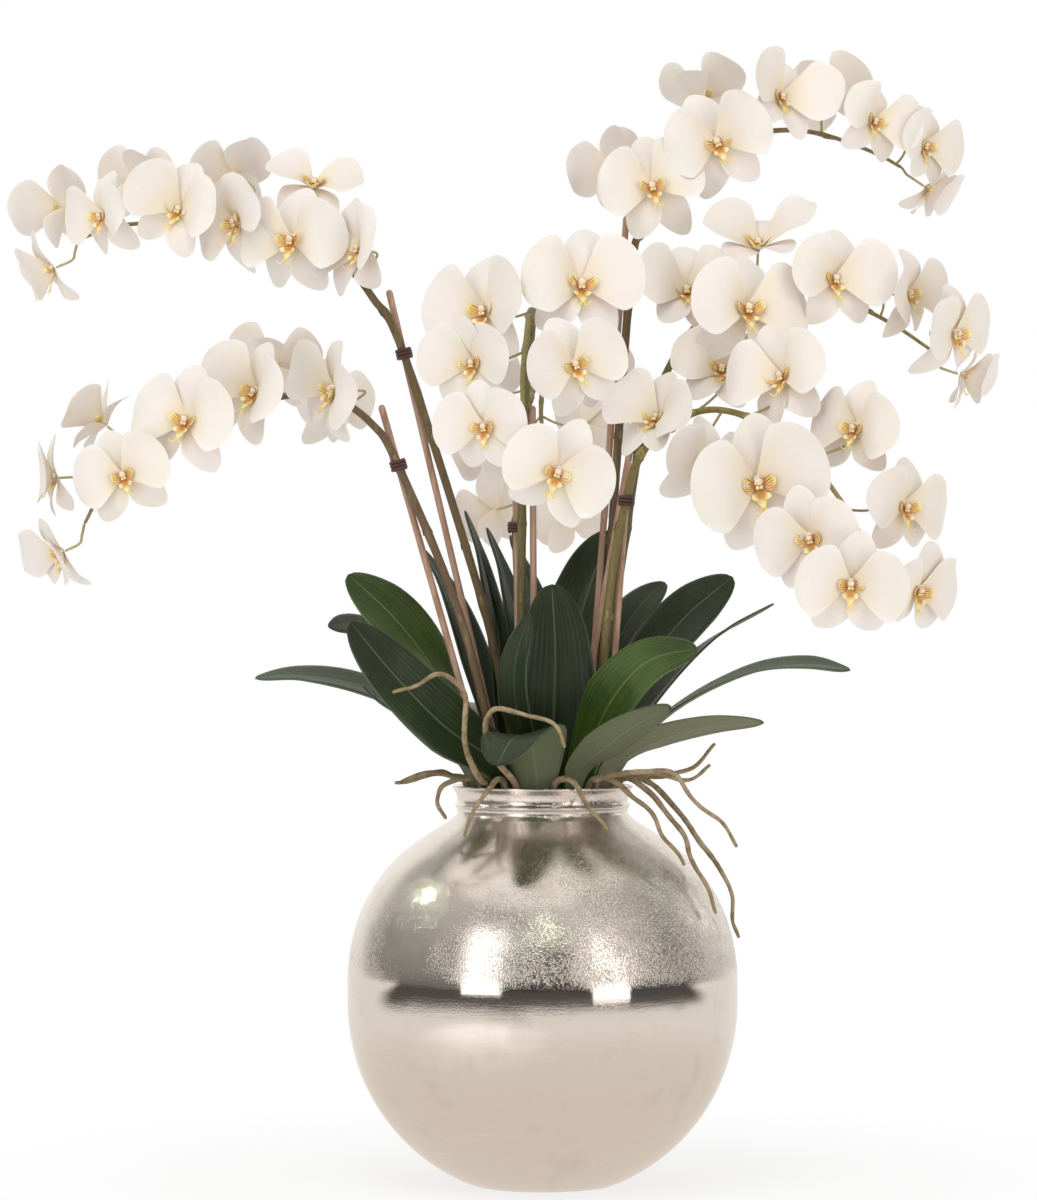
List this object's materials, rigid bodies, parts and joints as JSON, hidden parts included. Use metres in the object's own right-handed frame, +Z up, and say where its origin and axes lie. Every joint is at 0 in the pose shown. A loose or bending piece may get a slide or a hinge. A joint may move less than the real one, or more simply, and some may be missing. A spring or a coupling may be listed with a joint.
{
  "type": "potted orchid",
  "caption": "White moth orchids on staked, arching spikes over strap leaves and aerial roots, planted in bark in a round metal pot.",
  "frame": {"origin": "centre of the pot's flat foot, on the surface it stands on", "axes": "+Z up, -Y towards the front, +X to the right seen from the front"},
  "size_m": [0.9532, 0.7574, 1.14],
  "materials": {
    "aged_silver": "cast and polished, pitted and darkened with age",
    "bark": "rough chips",
    "petal_white": "soft matt petals",
    "stake_wood": "bare wood",
    "tie_plastic": "matt",
    "leaf_green": "waxy satin",
    "root_tan": "dry and matt"
  },
  "bodies": {
    "root": {"pot": "aged_silver", "potting_medium": "bark", "spike_centre_back": "petal_white", "spike_centre_front": "petal_white", "spike_lower_left": "petal_white", "spike_lower_right": "petal_white", "spike_middle_right": "petal_white", "spike_upper_left": "petal_white", "spike_upper_right": "petal_white", "stake_centre_back": "stake_wood", "stake_centre_front": "stake_wood", "stake_lower_left": "stake_wood", "stake_lower_right": "stake_wood", "stake_middle_right": "stake_wood", "stake_upper_left": "stake_wood", "stake_upper_right": "stake_wood", "tie_centre_back": "tie_plastic", "tie_centre_front": "tie_plastic", "tie_lower_left": "tie_plastic", "tie_lower_right": "tie_plastic", "tie_middle_right": "tie_plastic", "tie_upper_left": "tie_plastic", "tie_upper_right": "tie_plastic", "leaf_back_left": "leaf_green", "leaf_back_low_left": "leaf_green", "leaf_back_low_right": "leaf_green", "leaf_back_tall": "leaf_green", "leaf_back_thin": "leaf_green", "leaf_far_left": "leaf_green", "leaf_front_centre": "leaf_green", "leaf_front_folded": "leaf_green", "leaf_front_low": "leaf_green", "leaf_left_bright": "leaf_green", "leaf_left_front": "leaf_green", "leaf_left_low": "leaf_green", "leaf_right_back": "leaf_green", "leaf_right_front": "leaf_green", "leaf_right_large": "leaf_green", "leaf_right_long": "leaf_green", "leaf_right_narrow": "leaf_green", "leaf_right_olive": "leaf_green", "leaf_right_under": "leaf_green", "leaf_upright_centre": "leaf_green", "leaf_upright_left": "leaf_green", "leaf_upright_right": "leaf_green", "root_front_aerial": "root_tan", "root_front_left_aerial": "root_tan", "root_front_over_rim": "root_tan", "root_left_arched": "root_tan", "root_left_curled": "root_tan", "root_left_hanging": "root_tan", "root_left_short": "root_tan", "root_right_arched": "root_tan", "root_right_hanging": "root_tan", "root_right_long_inner": "root_tan", "root_right_long_outer": "root_tan", "root_right_upturned": "root_tan", "root_right_wavy": "root_tan"}
  },
  "joints": []
}
